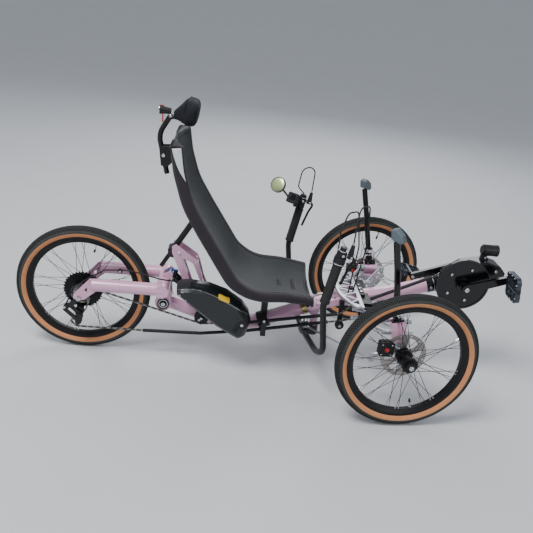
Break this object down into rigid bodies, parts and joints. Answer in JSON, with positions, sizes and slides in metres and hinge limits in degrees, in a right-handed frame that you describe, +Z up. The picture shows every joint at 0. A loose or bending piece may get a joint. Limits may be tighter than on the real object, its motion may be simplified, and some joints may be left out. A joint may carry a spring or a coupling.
{
  "type": "recumbent trike",
  "caption": "Low recumbent tricycle: steered wheel each side of a mesh seat, driven rear wheel, crank motor ahead, battery beside the frame, steering bar under the seat.",
  "frame": {"origin": "on the ground under the middle of the model's box", "axes": "+X forwards, +Y to the rider's left, +Z up"},
  "size_m": [1.8094, 0.8211, 0.9744],
  "materials": {
    "frame_paint": "glossy pale pink paint",
    "black_alloy": "satin black anodised",
    "machined_alloy": "machined silver",
    "tyre_rubber": "black tread with tan side walls",
    "black_rim": "satin black",
    "disc_steel": "bright steel",
    "soft_rubber": "soft black rubber",
    "black_plastic": "fine textured black plastic",
    "gloss_black": "gloss black",
    "shock_black": "gloss black with a bright rod",
    "seat_fabric": "open black mesh",
    "red_lens": "red lens in a black body",
    "mirror_glass": "round convex mirror in a black shell",
    "caliper_black": "black body with red adjusting knobs",
    "cable_black": "smooth black cable sleeve"
  },
  "bodies": {
    "frame": {"assist_caps": "soft_rubber", "assist_posts": "black_alloy", "battery": "black_plastic", "battery_rail": "black_alloy", "boom": "black_alloy", "chain": "disc_steel", "chain_tubes": "black_plastic", "derailleur": "black_alloy", "fold_latch": "machined_alloy", "headlamp": "black_plastic", "headrest_pad": "black_plastic", "headrest_post": "black_alloy", "idlers": "black_alloy", "kingpin_housings": "frame_paint", "main_frame": "frame_paint", "motor": "gloss_black", "pivot_caps": "gloss_black", "rear_cable": "cable_black", "rear_shock": "shock_black", "seat_clamp": "black_alloy", "seat_frame": "black_alloy", "seat_mast": "frame_paint", "seat_mesh": "seat_fabric", "seat_strut": "black_alloy", "sleeve_clamp": "black_alloy", "subframe": "black_alloy", "suspension_arms": "black_alloy", "suspension_plate": "machined_alloy", "swingarm": "frame_paint", "tail_lamp": "red_lens"},
    "steering_bar": {"steering_bar": "black_alloy", "grips": "soft_rubber", "hand_controls": "black_alloy", "mirror": "mirror_glass", "display": "gloss_black", "control_cables": "cable_black"},
    "knuckle_left": {"knuckle_left": "machined_alloy", "caliper_left": "caliper_black"},
    "knuckle_right": {"knuckle_right": "machined_alloy", "caliper_right": "caliper_black"},
    "tie_rod_left": {"tie_rod_left": "machined_alloy"},
    "tie_rod_right": {"tie_rod_right": "machined_alloy"},
    "front_wheel_left": {"tyre_left": "tyre_rubber", "wheel_left": "black_rim", "rotor_left": "disc_steel"},
    "front_wheel_right": {"tyre_right": "tyre_rubber", "wheel_right": "black_rim", "rotor_right": "disc_steel"},
    "rear_wheel": {"tyre_rear": "tyre_rubber", "wheel_rear": "black_rim", "cassette": "disc_steel"},
    "crank": {"crankset": "gloss_black"},
    "pedal_left": {"pedal_left": "black_plastic"},
    "pedal_right": {"pedal_right": "black_plastic"}
  },
  "joints": [
    {"name": "steering", "type": "hinge", "parent": "frame", "child": "steering_bar", "pos_m": [0.21881, -0.00228, 0.138], "axis": [0, 0, 1], "range_deg": [-41.5, 24.5]},
    {"name": "kingpin_left", "type": "hinge", "parent": "frame", "child": "knuckle_left", "pos_m": [0.48281, 0.27672, 0.2466], "axis": [-0.2156, -0.2855, 0.9338], "range_deg": [-27.2, 16.2]},
    {"name": "kingpin_right", "type": "hinge", "parent": "frame", "child": "knuckle_right", "pos_m": [0.48281, -0.28128, 0.2466], "axis": [-0.2156, 0.2855, 0.9338], "range_deg": [-27.2, 16.2]},
    {"name": "tie_rod_pin_left", "type": "hinge", "parent": "steering_bar", "child": "tie_rod_left", "pos_m": [0.18421, 0.01277, 0.161], "axis": [0, 0, 1], "range_deg": [-28.5, 48]},
    {"name": "tie_rod_pin_right", "type": "hinge", "parent": "steering_bar", "child": "tie_rod_right", "pos_m": [0.19012, -0.02679, 0.161], "axis": [0, 0, 1], "range_deg": [-28.5, 48]},
    {"name": "wheel_spin_left", "type": "hinge", "parent": "knuckle_left", "child": "front_wheel_left", "pos_m": [0.46954, 0.36333, 0.24659], "axis": [-0.1059, 0.9943, -0.0075], "continuous": true},
    {"name": "wheel_spin_right", "type": "hinge", "parent": "knuckle_right", "child": "front_wheel_right", "pos_m": [0.48521, -0.36885, 0.24646], "axis": [-0.0739, 0.9967, -0.0348], "continuous": true},
    {"name": "wheel_spin_rear", "type": "hinge", "parent": "frame", "child": "rear_wheel", "pos_m": [-0.65819, -0.00228, 0.2466], "axis": [0, 1, 0], "continuous": true},
    {"name": "crank_spin", "type": "hinge", "parent": "frame", "child": "crank", "pos_m": [0.74381, -0.00228, 0.402], "axis": [0, 1, 0], "continuous": true},
    {"name": "pedal_spin_left", "type": "hinge", "parent": "crank", "child": "pedal_left", "pos_m": [0.60198, 0.09472, 0.35317], "axis": [0, 1, 0], "continuous": true},
    {"name": "pedal_spin_right", "type": "hinge", "parent": "crank", "child": "pedal_right", "pos_m": [0.88564, -0.09928, 0.45083], "axis": [0, 1, 0], "continuous": true}
  ],
  "couplings": [
    {"joint": "kingpin_left", "follows": "steering", "ratio": 0.65},
    {"joint": "kingpin_right", "follows": "steering", "ratio": 0.65},
    {"joint": "tie_rod_pin_left", "follows": "steering", "ratio": -1.144},
    {"joint": "tie_rod_pin_right", "follows": "steering", "ratio": -1.141}
  ]
}
